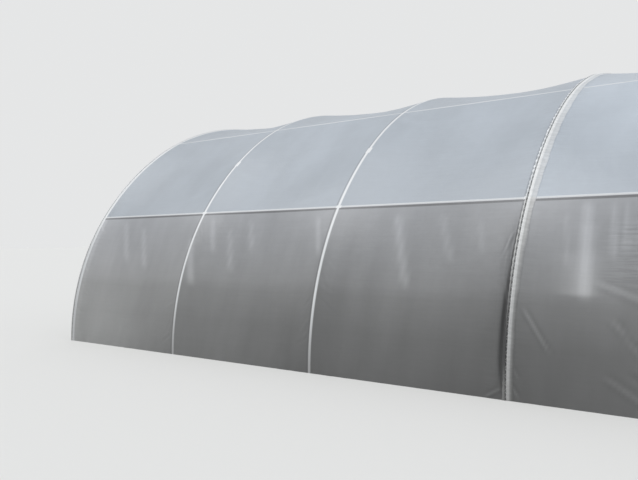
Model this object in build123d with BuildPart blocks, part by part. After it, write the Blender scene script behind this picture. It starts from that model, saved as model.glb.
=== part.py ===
"""Polytunnel greenhouse: galvanised tube hoops under two hazy film covers, joined over the middle hoop.

Millimetres. X runs along the tunnel from the left end to the right end, -Y is the front long side,
+Z is up. The origin is on the ground at the middle of the tunnel.
"""

import math
import os

from build123d import *

# Tunnel: bays along X, and the outer line of the hoops in the YZ plane
bay_spacing = 2500
bay_count = 6
left_cover_bay_count = 3
half_span = 4400
rise = 4000

# Hoops: bent tube in three lengths, the legs swaged to enter the crown tube
hoop_diameter = 60
hoop_wall = 2.5
swage_length = 90
swage_clearance = 0.3
neck_length = 20

# Purlins: short tubes between hoops, just inside their outer line, on a strap at each hoop
lower_purlin_height = 2050
upper_purlin_drop = 500
purlin_diameter = 34
purlin_wall = 2
purlin_end_gap = 2
purlin_set_in = 0.7
strap_thickness = 4
strap_width = 40
strap_ear = 60

# Corner braces in the end bays, inside the hoops
brace_diameter = 34
brace_wall = 2
brace_top_height = 1800
brace_foot_height = 200
brace_overhang = 12
brace_clearance = 0.8

# Film covers and their lock channels. Midway between hoops the film keeps only a share of their curve
film_thickness = 4
cover_seat = 1
mid_bay_bulge = 0.2
channel_width = 32
channel_depth = 12
channel_wall = 2
channel_lip = 7
flap_width = 90
flap_thickness = 3

# End walls: a doorway in a frame of box tube, closed with film
door_width = 2400
door_height = 2300
frame_width = 40
frame_wall = 2
rail_height = 1200
batten_width = 30
batten_thickness = 3

seat_gap = 0.3

# The outer line is two haunch arcs that stand upright on the ground, and a crown arc between them that
# they meet smoothly at the lower purlins. The tangent of half the haunch arc's angle solves a quadratic,
# lower_purlin_height * t**2 - span_sum * t + shoulder = 0
span_sum = half_span + rise
shoulder = lower_purlin_height + half_span - rise
root = math.sqrt(span_sum**2 - 4 * lower_purlin_height * shoulder)
half_tangent = (span_sum - root) / (2 * lower_purlin_height)
haunch_angle = 2 * math.degrees(math.atan(half_tangent))
haunch_radius = lower_purlin_height / math.sin(math.radians(haunch_angle))
haunch_centre = half_span - haunch_radius
crown_drop = haunch_centre * math.tan(math.radians(haunch_angle))
crown_radius = rise + crown_drop
upper_purlin_height = rise - upper_purlin_drop
hoop_radius = hoop_diameter / 2
haunch_run = (haunch_radius - hoop_radius) * math.radians(haunch_angle)
crown_run = (crown_radius - hoop_radius) * math.radians(90 - haunch_angle)
leg_on_crown = (haunch_run + crown_run) / 2 - haunch_run
leg_crown_angle = math.degrees(leg_on_crown / (crown_radius - hoop_radius))
swage_angle = math.degrees(swage_length / (crown_radius - hoop_radius))
neck_angle = math.degrees(neck_length / (crown_radius - hoop_radius))

length = bay_count * bay_spacing
hoop_places = [i * bay_spacing - length / 2 for i in range(bay_count + 1)]
joint_place = hoop_places[left_cover_bay_count]

os.makedirs("parts", exist_ok=True)


def save(part, name):
    """Label a finished piece and write its file."""
    part.label = name
    export_step(part, f"parts/{name}.step")


def arch_line(out):
    """The arch from the front foot to the back foot, moved outwards by a distance."""
    CenterArc((-haunch_centre, 0), haunch_radius + out, 180, -haunch_angle)
    CenterArc((0, -crown_drop), crown_radius + out, 180 - haunch_angle, 2 * haunch_angle - 180)
    CenterArc((haunch_centre, 0), haunch_radius + out, haunch_angle, -haunch_angle)


def arch_band(start, end, inner, outer):
    """A band that follows the arch from one X to another, between two distances from the outer line."""
    with BuildSketch(Plane.YZ.offset(start)) as band:
        with BuildLine():
            arch_line(inner)
            arch_line(outer)
            Line((-half_span - outer, 0), (-half_span - inner, 0))
            Line((half_span + inner, 0), (half_span + outer, 0))
        make_face()
    extrude(to_extrude=band.sketch, amount=end - start)


def arch_inside(out):
    """The face inside the arch line at a distance from the outer line, in the sketch in hand."""
    with BuildLine() as outline:
        arch_line(out)
        Line((half_span + out, 0), (-half_span - out, 0))
    make_face(outline.edges(), mode=Mode.INTERSECT)


def front_arc(height):
    """Centre, radius and angle of the front arc where the outer line reaches a height."""
    centre, radius = (-haunch_centre, 0), haunch_radius
    if height > lower_purlin_height:
        centre, radius = (0, -crown_drop), crown_radius
    above = height - centre[1]
    beside = math.sqrt(max(radius**2 - above**2, 0))
    return centre, radius, 180 - math.degrees(math.atan2(above, beside))


def arch_point(height, depth):
    """The point at a depth inside the front outer line, square to it at a height, as (y, z)."""
    centre, radius, angle = front_arc(height)
    reach = radius - depth
    turn = math.radians(angle)
    return centre[0] + reach * math.cos(turn), centre[1] + reach * math.sin(turn)


def ring(diameter, wall):
    """A tube's section in the sketch in hand."""
    Circle(diameter / 2)
    Circle(diameter / 2 - wall, mode=Mode.SUBTRACT)


def taper(start, start_way, start_radius, end, end_way, end_radius):
    """A tube's wall drawn down from one radius to a smaller one, between two points of its middle line."""
    for drawn, mode in ((0, Mode.ADD), (hoop_wall, Mode.SUBTRACT)):
        with BuildSketch(Plane(origin=start, z_dir=start_way)) as wide:
            Circle(start_radius - drawn)
        with BuildSketch(Plane(origin=end, z_dir=end_way)) as narrow:
            Circle(end_radius - drawn)
        loft(sections=[wide.sketch, narrow.sketch], mode=mode)


# Hoops
leg_end = 180 - haunch_angle - leg_crown_angle
neck_start = leg_end + neck_angle
middle_radius = crown_radius - hoop_radius
swage_radius = hoop_radius - hoop_wall - swage_clearance
with BuildPart() as legs:
    with BuildLine(Plane.YZ) as run:
        CenterArc((-haunch_centre, 0), haunch_radius - hoop_radius, 180, -haunch_angle)
        CenterArc((0, -crown_drop), middle_radius, 180 - haunch_angle, neck_angle - leg_crown_angle)
    with BuildSketch(Plane(origin=run.line @ 0, z_dir=run.line % 0)):
        ring(hoop_diameter, hoop_wall)
    sweep(path=run.line)
    with BuildLine(Plane.YZ) as swage:
        CenterArc((0, -crown_drop), middle_radius, leg_end, -swage_angle)
    with BuildSketch(Plane(origin=swage.line @ 0, z_dir=swage.line % 0)):
        ring(2 * swage_radius, hoop_wall)
    sweep(path=swage.line)
    taper(run.line @ 1, run.line % 1, hoop_radius, swage.line @ 0, swage.line % 0, swage_radius)
    mirror(about=Plane.XZ)

with BuildPart() as crown:
    with BuildLine(Plane.YZ) as bend:
        CenterArc((0, -crown_drop), middle_radius, leg_end, 180 - 2 * leg_end)
    with BuildSketch(Plane(origin=bend.line @ 0, z_dir=bend.line % 0)):
        ring(hoop_diameter, hoop_wall)
    sweep(path=bend.line)

for number, place in enumerate(hoop_places, start=1):
    with BuildPart() as hoop_legs:
        with Locations((place, 0, 0)):
            add(legs.part)
    save(hoop_legs.part, f"hoop_{number}_legs")
    with BuildPart() as hoop_crown:
        with Locations((place, 0, 0)):
            add(crown.part)
    save(hoop_crown.part, f"hoop_{number}_crown")

# Purlins, one tube a bay, with their outer side just inside the hoops' outer line
purlin_depth = purlin_set_in + purlin_diameter / 2
purlin_length = bay_spacing - hoop_diameter - 2 * purlin_end_gap
purlin_seats = {
    "front_lower": arch_point(lower_purlin_height, purlin_depth),
    "front_upper": arch_point(upper_purlin_height, purlin_depth),
    "ridge": (0, rise - purlin_depth),
}
purlin_seats["back_lower"] = (-purlin_seats["front_lower"][0], purlin_seats["front_lower"][1])
purlin_seats["back_upper"] = (-purlin_seats["front_upper"][0], purlin_seats["front_upper"][1])
for name, seat in purlin_seats.items():
    with BuildPart() as purlin:
        for place in hoop_places[:-1]:
            with BuildSketch(Plane.YZ.offset(place + hoop_radius + purlin_end_gap)):
                with Locations(seat):
                    ring(purlin_diameter, purlin_wall)
            extrude(amount=purlin_length)
    save(purlin.part, f"{name}_purlin" if name != "ridge" else "ridge_purlin")


def strap(place, height, sides):
    """A strap under one hoop, with an ear under the purlin's end on each side that has a bay."""
    centre, radius, angle = front_arc(height)
    turn = math.radians(angle)
    reach = radius - hoop_radius
    middle = Vector(place, centre[0] + reach * math.cos(turn), centre[1] + reach * math.sin(turn))
    along = Vector(0, -math.sin(turn), math.cos(turn))
    bore = hoop_radius + seat_gap
    ear_top = hoop_radius - purlin_set_in - purlin_diameter - seat_gap
    with BuildSketch(Plane(origin=middle, x_dir=(1, 0, 0), z_dir=along)) as bent:
        Circle(bore + strap_thickness)
        with Locations((0, ear_top)):
            Rectangle(4 * bore, 4 * bore, align=(Align.CENTER, Align.MIN), mode=Mode.SUBTRACT)
        for side in (-1, 1):
            across = Align.MIN if side > 0 else Align.MAX
            if side in sides:
                with Locations((side * bore, ear_top)):
                    Rectangle(strap_thickness + strap_ear, strap_thickness, align=(across, Align.MAX))
            else:
                Rectangle(4 * bore, 4 * bore, align=(across, Align.CENTER), mode=Mode.SUBTRACT)
        Circle(bore, mode=Mode.SUBTRACT)
    extrude(to_extrude=bent.sketch, amount=strap_width / 2, both=True)


def bay_sides(place):
    """The sides of a hoop that have a bay: -1 to its left, 1 to its right."""
    return [side for side in (-1, 1) if abs(place + side * bay_spacing) < length / 2 + 1]


with BuildPart() as front_straps:
    for place in hoop_places:
        strap(place, lower_purlin_height, bay_sides(place))
        strap(place, upper_purlin_height, bay_sides(place))
save(front_straps.part, "front_purlin_straps")

with BuildPart() as back_straps:
    mirror(front_straps.part, about=Plane.XZ)
save(back_straps.part, "back_purlin_straps")

with BuildPart() as ridge_straps:
    for place in hoop_places:
        strap(place, rise, bay_sides(place))
save(ridge_straps.part, "ridge_purlin_straps")

# Corner braces, from high on each end hoop to low on the next one
brace_depth = hoop_diameter + brace_clearance + brace_diameter / 2
with BuildPart() as braces:
    high = Vector(-length / 2, *arch_point(brace_top_height, brace_depth))
    low = Vector(bay_spacing - length / 2, *arch_point(brace_foot_height, brace_depth))
    lean = (low - high).normalized()
    start = high - lean * brace_overhang
    with BuildSketch(Plane(origin=start, z_dir=lean)):
        ring(brace_diameter, brace_wall)
    extrude(amount=(low - high).length + 2 * brace_overhang)
    mirror(about=Plane.XZ)
    mirror(about=Plane.YZ)
save(braces.part, "corner_braces")

# Lock channels on the end hoops and on the joint hoop
channels = {"left_end": hoop_places[0], "joint": joint_place, "right_end": hoop_places[-1]}
for name, place in channels.items():
    left, right = place - channel_width / 2, place + channel_width / 2
    top = seat_gap + channel_depth
    with BuildPart() as channel:
        arch_band(left, right, seat_gap, seat_gap + channel_wall)
        arch_band(left, left + channel_wall, seat_gap, top)
        arch_band(right - channel_wall, right, seat_gap, top)
        arch_band(left, left + channel_lip, top - channel_wall, top)
        arch_band(right - channel_lip, right, top - channel_wall, top)
    save(channel.part, f"{name}_channel")

# Film covers between the channels, and the flap of film beside the joint
film_strips = [
    (0, lower_purlin_height, haunch_radius),
    (lower_purlin_height, upper_purlin_height, crown_radius),
    (upper_purlin_height, rise, crown_radius),
]


def strip_section(place, strip, seat, thickness, bulge):
    """The section at one X of a strip of film, which is held along its lower and upper edge."""
    low_height, high_height, radius = strip
    with BuildSketch(Plane.YZ.offset(place)) as section:
        with BuildLine():
            edges = []
            for out in (seat, seat + thickness):
                low, high = arch_point(low_height, -out), arch_point(high_height, -out)
                full_radius = radius + out
                full_sagitta = full_radius - math.sqrt(full_radius**2 - (math.dist(low, high) / 2) ** 2)
                SagittaArc(low, high, bulge * full_sagitta)
                edges.append((low, high))
            (inner_low, inner_high), (outer_low, outer_high) = edges
            Line(inner_low, outer_low)
            Line(inner_high, outer_high)
        make_face()
    return section.sketch


def film_run(start, end, shares, seat, thickness):
    """The front half of a film between two hoops, lofted through sections at shares of the way."""
    for strip in film_strips:
        sections = []
        for share in shares:
            bulge = mid_bay_bulge + (1 - mid_bay_bulge) * (2 * share - 1) ** 2
            sections.append(strip_section(start + share * (end - start), strip, seat, thickness, bulge))
        loft(sections=sections)


edge = channel_width / 2 + seat_gap
covers = {
    "left_cover": hoop_places[: left_cover_bay_count + 1],
    "right_cover": hoop_places[left_cover_bay_count:],
}
for name, places in covers.items():
    holds = [places[0] + edge, *places[1:-1], places[-1] - edge]
    with BuildPart() as cover:
        for start, end in zip(holds, holds[1:]):
            film_run(start, end, (0, 0.5, 1), cover_seat, film_thickness)
        mirror(about=Plane.XZ)
    save(cover.part, name)

flap_seat = cover_seat + film_thickness + seat_gap
flap_share = flap_width / (holds[1] - holds[0])
with BuildPart() as flap:
    film_run(holds[0], holds[1], (0, flap_share / 2, flap_share), flap_seat, flap_thickness)
    mirror(about=Plane.XZ)
save(flap.part, "joint_flap")


# End walls
def box_tube(place, low, high, top_gap=seat_gap):
    """A box tube across the end wall from one corner (y, z) to another, cut to fit inside the hoop."""
    wide, tall = high[0] - low[0], high[1] - low[1]
    upright = tall > wide
    bore = (wide - 2 * frame_wall, 2 * tall) if upright else (2 * wide, tall - 2 * frame_wall)
    middle = ((low[0] + high[0]) / 2, (low[1] + high[1]) / 2)
    with BuildSketch(Plane.YZ.offset(place)) as section:
        with Locations(middle):
            Rectangle(wide, tall)
        arch_inside(-hoop_diameter - top_gap)
    extrude(to_extrude=section.sketch, amount=hoop_radius, both=True)
    with BuildSketch(Plane.YZ.offset(place)) as hollow:
        with Locations(middle):
            Rectangle(*bore)
    extrude(to_extrude=hollow.sketch, amount=hoop_radius - frame_wall, both=True, mode=Mode.SUBTRACT)


post_out = door_width / 2 + frame_width
for name, place, out in (("left_end", -length / 2, -1), ("right_end", length / 2, 1)):
    with BuildPart() as posts:
        box_tube(place, (-post_out, 0), (-door_width / 2, rise))
        mirror(about=Plane.XZ)
    save(posts.part, f"{name}_door_posts")

    with BuildPart() as header:
        box_tube(
            place,
            (-door_width / 2 + seat_gap, door_height),
            (door_width / 2 - seat_gap, door_height + frame_width),
        )
    save(header.part, f"{name}_door_header")

    with BuildPart() as rails:
        for height in (rail_height, door_height):
            box_tube(place, (-half_span, height), (-post_out - seat_gap, height + frame_width))
        mirror(about=Plane.XZ)
    save(rails.part, f"{name}_side_rails")

    with BuildPart() as strut:
        box_tube(
            place,
            (-frame_width / 2, door_height + frame_width + seat_gap),
            (frame_width / 2, rise),
            top_gap=2 * seat_gap + strap_thickness,
        )
    save(strut.part, f"{name}_gable_strut")

    face = place + out * (hoop_radius + seat_gap)
    with BuildPart() as front_film:
        with BuildSketch(Plane.YZ.offset(face)):
            with Locations((-door_width / 2, 0)):
                Rectangle(half_span, rise, align=(Align.MAX, Align.MIN))
            arch_inside(0)
        extrude(amount=out * film_thickness)
    save(front_film.part, f"{name}_film_front")

    with BuildPart() as back_film:
        mirror(front_film.part, about=Plane.XZ)
    save(back_film.part, f"{name}_film_back")

    with BuildPart() as top_film:
        with BuildSketch(Plane.YZ.offset(face)):
            with Locations((0, door_height)):
                Rectangle(door_width, rise, align=(Align.CENTER, Align.MIN))
            arch_inside(0)
        extrude(amount=out * film_thickness)
    save(top_film.part, f"{name}_film_above_door")

    batten_face = face + out * (film_thickness + seat_gap)
    with BuildPart() as battens:
        with BuildSketch(Plane.YZ.offset(batten_face)):
            with Locations((-door_width / 2, 0)):
                Rectangle(batten_width, door_height - seat_gap, align=(Align.MAX, Align.MIN))
            mirror(about=Plane.YZ)
            with Locations((0, door_height)):
                Rectangle(door_width + 2 * batten_width, batten_width, align=(Align.CENTER, Align.MIN))
        extrude(amount=out * batten_thickness)
    save(battens.part, f"{name}_door_battens")
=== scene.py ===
"""Looks of the polytunnel greenhouse: hazy film, lock wires, fixings and the finish of every tube.

Metres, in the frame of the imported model: X along the tunnel, -Y the front long side, +Z up.
"""
import math

import bpy
import numpy as np
from mathutils import Matrix, Vector


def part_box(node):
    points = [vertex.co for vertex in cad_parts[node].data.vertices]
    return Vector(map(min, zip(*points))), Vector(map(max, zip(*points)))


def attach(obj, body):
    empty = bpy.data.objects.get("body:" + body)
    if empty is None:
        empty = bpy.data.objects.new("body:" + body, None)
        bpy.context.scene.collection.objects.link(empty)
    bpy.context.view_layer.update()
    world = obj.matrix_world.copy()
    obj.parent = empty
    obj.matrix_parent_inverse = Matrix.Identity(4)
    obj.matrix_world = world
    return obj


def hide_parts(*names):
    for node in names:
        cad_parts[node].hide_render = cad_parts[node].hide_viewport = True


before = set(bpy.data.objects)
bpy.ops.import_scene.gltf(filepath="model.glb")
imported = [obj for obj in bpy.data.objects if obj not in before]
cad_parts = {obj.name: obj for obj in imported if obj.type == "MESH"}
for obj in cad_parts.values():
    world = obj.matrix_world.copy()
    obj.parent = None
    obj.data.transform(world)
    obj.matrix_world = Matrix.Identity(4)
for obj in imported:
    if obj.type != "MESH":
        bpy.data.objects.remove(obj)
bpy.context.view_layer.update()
rng = np.random.default_rng(7)
FULL_TURN = 6.28

# Sizes that the solids give
HOOP_COUNT = sum(name.endswith("_crown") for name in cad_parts)
LEGS = [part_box(f"hoop_{number}_legs") for number in range(1, HOOP_COUNT + 1)]
HOOPS = [(low.x + high.x) / 2 for low, high in LEGS]
HOOP_RADIUS = (LEGS[0][1].x - LEGS[0][0].x) / 2
HALF_SPAN = LEGS[0][1].y
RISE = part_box("hoop_1_crown")[1].z
JOINT = sum(corner.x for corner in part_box("joint_channel")) / 2
BAY = HOOPS[1] - HOOPS[0]
HALF_LENGTH = HOOPS[-1]
DOOR_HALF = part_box("left_end_film_above_door")[1].y
DOOR_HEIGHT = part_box("left_end_film_above_door")[0].z
LOCKS = {HOOPS[0]: "left_end", JOINT: "joint", HOOPS[-1]: "right_end"}
BAY_ENDS = [(hoop, side) for hoop in HOOPS for side in (-1, 1) if abs(hoop + side * BAY / 2) < HALF_LENGTH]

# Sizes of the frame and the film
LOWER_PURLIN = 2.05
UPPER_PURLIN = RISE - 0.5
HOOP_JOINT_HEIGHT = 2.85
RAIL_HEIGHT = 1.2
END_TUBE_HALF = 0.02
POST_MIDDLE = DOOR_HALF + END_TUBE_HALF
RAIL_MIDDLE = RAIL_HEIGHT + END_TUBE_HALF
HEADER_MIDDLE = DOOR_HEIGHT + END_TUBE_HALF
COVER_OUT = 0.003
MID_BAY_BULGE = 0.2
CHANNEL_EDGE = 0.0163
WIRE_HALF_PERIOD = 0.0375

# The arch: two haunch arcs that meet a crown arc at the lower purlins
span_sum = HALF_SPAN + RISE
shoulder = LOWER_PURLIN + HALF_SPAN - RISE
root = math.sqrt(span_sum**2 - 4 * LOWER_PURLIN * shoulder)
HAUNCH_TURN = 2 * math.atan((span_sum - root) / (2 * LOWER_PURLIN))
HAUNCH_RADIUS = LOWER_PURLIN / math.sin(HAUNCH_TURN)
HAUNCH_CENTRE = HALF_SPAN - HAUNCH_RADIUS
CROWN_DROP = HAUNCH_CENTRE * math.tan(HAUNCH_TURN)
CROWN_RADIUS = RISE + CROWN_DROP
TO_LOWER = HAUNCH_RADIUS * HAUNCH_TURN


def up_the_crown(height):
    """The length along the hoop from its foot to a height on the crown arc."""
    turn = math.asin(min((height + CROWN_DROP) / CROWN_RADIUS, 1))
    return TO_LOWER + CROWN_RADIUS * (turn - HAUNCH_TURN)


# Lengths along the hoop from the front foot, and the places that hold the film along it
TO_UPPER = up_the_crown(UPPER_PURLIN)
TO_RIDGE = up_the_crown(RISE)
TO_HOOP_JOINT = up_the_crown(HOOP_JOINT_HEIGHT)
ARCH_LENGTH = 2 * TO_RIDGE
HOLDS = [0.0, TO_LOWER, TO_UPPER, TO_RIDGE, ARCH_LENGTH - TO_UPPER, ARCH_LENGTH - TO_LOWER, ARCH_LENGTH]
STRIP_RADII = [HAUNCH_RADIUS, CROWN_RADIUS, CROWN_RADIUS, CROWN_RADIUS, CROWN_RADIUS, HAUNCH_RADIUS]


def smooth(value, low, high):
    """0 below low, 1 above high, and a smooth step between."""
    t = np.clip((value - low) / (high - low), 0, 1)
    return t * t * (3 - 2 * t)


def fade(value, low, high):
    """1 below low, 0 above high, and a smooth step between."""
    return 1 - smooth(value, low, high)


def from_foot(along):
    """The length along the hoop from the nearer foot."""
    return np.minimum(along, ARCH_LENGTH - along)


def arch_at(along, out=0.0):
    """The point and the outward way at a length along the hoop, in the YZ plane."""
    along = np.asarray(along, float)
    near = from_foot(along)
    side = np.where(along <= TO_RIDGE, 1.0, -1.0)
    haunch = near <= TO_LOWER
    turn = np.where(haunch, near / HAUNCH_RADIUS, HAUNCH_TURN + (near - TO_LOWER) / CROWN_RADIUS)
    centre_y = np.where(haunch, -HAUNCH_CENTRE, 0.0)
    centre_z = np.where(haunch, 0.0, -CROWN_DROP)
    radius = np.where(haunch, HAUNCH_RADIUS, CROWN_RADIUS) + out
    way = np.stack([-side * np.cos(turn), np.sin(turn)], axis=-1)
    point = np.stack([side * (centre_y - radius * np.cos(turn)), centre_z + radius * np.sin(turn)], axis=-1)
    return point, way


# Meshes
def placed(name, data):
    """A new object in the scene."""
    made = bpy.data.objects.new(name, data)
    bpy.context.scene.collection.objects.link(made)
    return made


def mesh_piece(name, points, faces, material, smooth_shade=True):
    """A mesh piece that rides on the tunnel."""
    mesh = bpy.data.meshes.new(name)
    mesh.from_pydata([tuple(p) for p in points], [], [tuple(f) for f in faces])
    mesh.materials.append(material)
    mesh.polygons.foreach_set("use_smooth", [smooth_shade] * len(mesh.polygons))
    mesh.update()
    piece = placed(name, mesh)
    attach(piece, "root")
    return piece


def grid_faces(rows, columns):
    """The quads of a grid of points kept row by row."""
    index = np.arange(rows * columns).reshape(rows, columns)
    corners = (index[:-1, :-1], index[:-1, 1:], index[1:, 1:], index[1:, :-1])
    return np.stack([c.ravel() for c in corners], axis=1)


def ring_faces(rings, sides):
    """The quads between closed rings of points."""
    faces = []
    for ring in range(rings - 1):
        for k in range(sides):
            a, b = ring * sides + k, ring * sides + (k + 1) % sides
            faces.append((a, b, b + sides, a + sides))
    return faces


def sheet_piece(name, points, measure, material, **layers):
    """A sheet from a grid of points, with its measure in metres as UV and layers for the shader."""
    faces = grid_faces(*points.shape[:2])
    piece = mesh_piece(name, points.reshape(-1, 3), faces, material)
    mesh = piece.data
    order = np.empty(len(mesh.loops), int)
    mesh.loops.foreach_get("vertex_index", order)
    layer = mesh.uv_layers.new(name="measure")
    layer.data.foreach_set("uv", measure.reshape(-1, 2)[order].astype(np.float32).ravel())
    for layer_name, values in layers.items():
        spread = mesh.attributes.new(layer_name, "FLOAT", "POINT")
        spread.data.foreach_set("value", values.astype(np.float32).ravel())
    return piece


def spaced(length, first, growth, reach, fine, coarse):
    """Places from 0 to length: fine steps within a reach of both ends, and coarser ones between."""
    places = [0.0]
    while places[-1] < length / 2:
        gone = places[-1]
        near_end = gone < reach
        step = min(first + growth * gone, fine) if near_end else min(fine + growth * (gone - reach), coarse)
        places.append(gone + step)
    half = np.array(places) * (length / 2 / places[-1])
    return np.concatenate([half, length - half[-2::-1]])


# Shader nodes
class Shader:
    """The nodes of a material or of the world."""

    def __init__(self, owner):
        self.owner = owner
        owner.use_nodes = True
        self.tree = owner.node_tree
        self.surface = self.tree.nodes.get("Principled BSDF")

    def link(self, source, socket):
        if isinstance(source, bpy.types.NodeSocket):
            self.tree.links.new(source, socket)
        else:
            socket.default_value = source

    def add(self, kind, *sources, **settings):
        """A node with its settings, its first inputs fed in their order."""
        node = self.tree.nodes.new("ShaderNode" + kind)
        for key, value in settings.items():
            setattr(node, key, value)
        for source, socket in zip(sources, node.inputs):
            self.link(source, socket)
        return node

    def maths(self, operation, *values):
        return self.add("Math", *values, operation=operation).outputs[0]

    def times(self, first, *others):
        """The product of all values."""
        for other in others:
            first = self.maths("MULTIPLY", first, other)
        return first

    def most(self, first, *others):
        """The largest of all values."""
        for other in others:
            first = self.maths("MAXIMUM", first, other)
        return first

    def step(self, value, low, high, start=0.0, end=1.0):
        """Goes smoothly from start at low to end at high."""
        node = self.add("MapRange", value, low, high, start, end, interpolation_type="SMOOTHSTEP")
        return node.outputs[0]

    def band(self, value, middle, half, soft):
        """1 within half of a middle, falling to 0 over soft."""
        away = self.maths("ABSOLUTE", self.maths("SUBTRACT", value, middle))
        return self.step(away, half, half + soft, 1.0, 0.0)

    def blend(self, factor, first, second, kind="MIX"):
        node = self.add("Mix", data_type="RGBA", blend_type=kind)
        for source, socket in zip((factor, first, second), (node.inputs[0], node.inputs[6], node.inputs[7])):
            if isinstance(source, tuple) and len(source) == 3:
                source = (*source, 1.0)
            self.link(source, socket)
        return node.outputs[2]

    def shaded(self, colour, tone):
        """A colour times a grey tone."""
        grey = self.add("CombineColor", tone, tone, tone)
        return self.blend(1.0, colour, grey.outputs[0], "MULTIPLY")

    def ramp(self, value, *stops):
        """A colour ramp through (place, colour) stops."""
        node = self.add("ValToRGB", value)
        elements = node.color_ramp.elements
        while len(elements) < len(stops):
            elements.new(0.5)
        for element, (place, colour) in zip(elements, stops):
            element.position = place
            element.color = (*colour, 1.0)
        return node.outputs[0]

    def place(self):
        """The place in the frame, in metres."""
        return self.add("TexCoord").outputs["Object"]

    def noise(self, vector, scale, detail=3.0, roughness=0.5):
        """Noise at one scale, or drawn out by a scale for each part."""
        if isinstance(scale, tuple):
            mapping = self.add("Mapping", vector)
            mapping.inputs["Scale"].default_value = scale
            vector, scale = mapping.outputs[0], 1.0
        node = self.add("TexNoise")
        inputs = {"Vector": vector, "Scale": scale, "Detail": detail, "Roughness": roughness}
        for name, value in inputs.items():
            self.link(value, node.inputs[name])
        return node.outputs["Fac"]

    def bump(self, height, distance, below=None):
        node = self.add("Bump")
        node.inputs["Strength"].default_value = 1.0
        node.inputs["Distance"].default_value = distance
        self.link(height, node.inputs["Height"])
        if below is not None:
            self.link(below, node.inputs["Normal"])
        return node.outputs[0]

    def finish(self, colour, roughness, normal=None, metallic=0.0):
        """Feeds the surface, and gives the material."""
        inputs = {"Base Color": colour, "Roughness": roughness, "Normal": normal, "Metallic": metallic}
        for name, value in inputs.items():
            if value is not None:
                self.link(value, self.surface.inputs[name])
        return self.owner


# Colours of the film: where it hangs free, with painted shade darker down the sides, end walls and flaps
# towards the foot and painted sky reflection paler and bluer over the roof; where it touches a tube; and in
# painted shadow
FILM_ROOF = (0.50, 0.545, 0.60)
FILM_SIDE = [(0.0, (0.160, 0.160, 0.158)), (0.25, (0.185, 0.185, 0.183)), (0.45, (0.245, 0.245, 0.244))]
FILM_SIDE += [(0.52, (0.295, 0.295, 0.297)), (0.98, (0.415, 0.422, 0.442))]
END_FILM = [(0.0, (0.30, 0.30, 0.298)), (0.3, (0.41, 0.41, 0.41)), (0.8, (0.54, 0.545, 0.56))]
FLAP_FILM = [(0.0, (0.34, 0.34, 0.335)), (0.45, (0.48, 0.48, 0.475)), (0.98, (0.68, 0.68, 0.675))]
FLAP_ROOF = (0.74, 0.755, 0.77)
FILM_CONTACT = (0.71, 0.722, 0.73)
FILM_CONTACT_FOOT = (0.365, 0.367, 0.368)
FLAP_CONTACT = (0.88, 0.885, 0.88)
FLAP_CONTACT_FOOT = (0.44, 0.44, 0.435)
FILM_SHADOW = (0.13, 0.13, 0.135)
SEE_THROUGH = 0.28
FOOT_TONE_TOP = 1.1


class FilmShader(Shader):
    """Hazy film: the place on its sheet, its tones with painted light and shade, its fine drawn wrinkles and
    the light through it.
    """

    def __init__(self, name):
        super().__init__(bpy.data.materials.new(name))
        self.uv = self.add("UVMap", uv_map="measure").outputs[0]
        parts = self.add("SeparateXYZ", self.uv)
        self.across, self.along = parts.outputs[0], parts.outputs[1]
        self.beside = self.maths("ABSOLUTE", self.across)
        self.near = self.maths("PINGPONG", self.along, TO_RIDGE)
        self.is_roof = self.step(self.near, TO_LOWER - 0.004, TO_LOWER + 0.004)
        self.cloud = self.noise(self.uv, (1.17, 0.65, 1.3), 4.0, 0.55)
        self.drawn = self.noise(self.uv, (1.4, 24.0, 1.0), 4.0, 0.6)

    def layer(self, name):
        """A layer of the mesh."""
        return self.add("Attribute", attribute_name=name).outputs["Fac"]

    def by_height(self, side, roof):
        """A colour with stops up the side, where painted shade darkens it towards the foot, and one over the
        roof, with painted sky reflection.
        """
        return self.blend(self.is_roof, self.ramp(self.maths("DIVIDE", self.near, TO_LOWER), *side), roof)

    def touch(self):
        """The colour on a tube, with painted shade darker at the foot."""
        return self.blend(self.step(self.near, 0.0, FOOT_TONE_TOP), FILM_CONTACT_FOOT, FILM_CONTACT)

    def toned(self, colour):
        """A colour with the mesh's painted light, shade and tone, clouds, a drawn grain, painted light and
        shade of ripples, and hung bands.
        """
        clouds = self.step(self.cloud, 0.3, 0.7, 0.95, 1.05)
        fine = self.step(self.noise(self.uv, (3.2, 34.0, 1.0), 3.0, 0.6), 0.35, 0.65, -0.14, 0.14)
        grain = self.step(self.drawn, 0.3, 0.7, 0.99, 1.01)
        # Painted light and shade of fine ripples, where the ripple layer is set
        grain = self.maths("ADD", grain, self.times(fine, self.layer("ripple")))
        haze = self.maths("MULTIPLY_ADD", self.layer("haze"), 1.1, 0.45)
        hung = self.step(self.noise(self.uv, (5.5, 0.6, 1.0), 3.0, 0.55), 0.3, 0.7, -0.02, 0.02)
        bands = self.maths("ADD", self.times(hung, self.maths("SUBTRACT", 1.0, self.is_roof)), 1.0)
        return self.shaded(colour, self.times(clouds, grain, haze, bands))

    def film(self, colour, contact, gathers=None):
        """Adds drawn wrinkles, small dents, the film's orange peel and the light through it."""
        dents = self.noise(self.uv, (7.0, 5.0, 1.0), 3.0, 0.5)
        peel = self.noise(self.uv, 160.0, 2.0, 0.5)
        normal = self.bump(dents, 0.004, below=self.bump(self.drawn, 0.0010))
        if gathers is not None:
            normal = self.bump(gathers, 0.003, below=normal)
        normal = self.bump(peel, 0.00012, below=normal)
        through = self.add("BsdfTranslucent")
        self.link(colour, through.inputs["Color"])
        self.link(normal, through.inputs["Normal"])
        share = self.times(self.maths("SUBTRACT", 1.0, contact), SEE_THROUGH)
        mixed = self.add("MixShader", share, self.surface.outputs[0], through.outputs[0])
        self.link(mixed.outputs[0], self.tree.nodes["Material Output"].inputs["Surface"])
        return self.finish(colour, self.step(self.cloud, 0.2, 0.8, 0.28, 0.42), normal)


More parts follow.
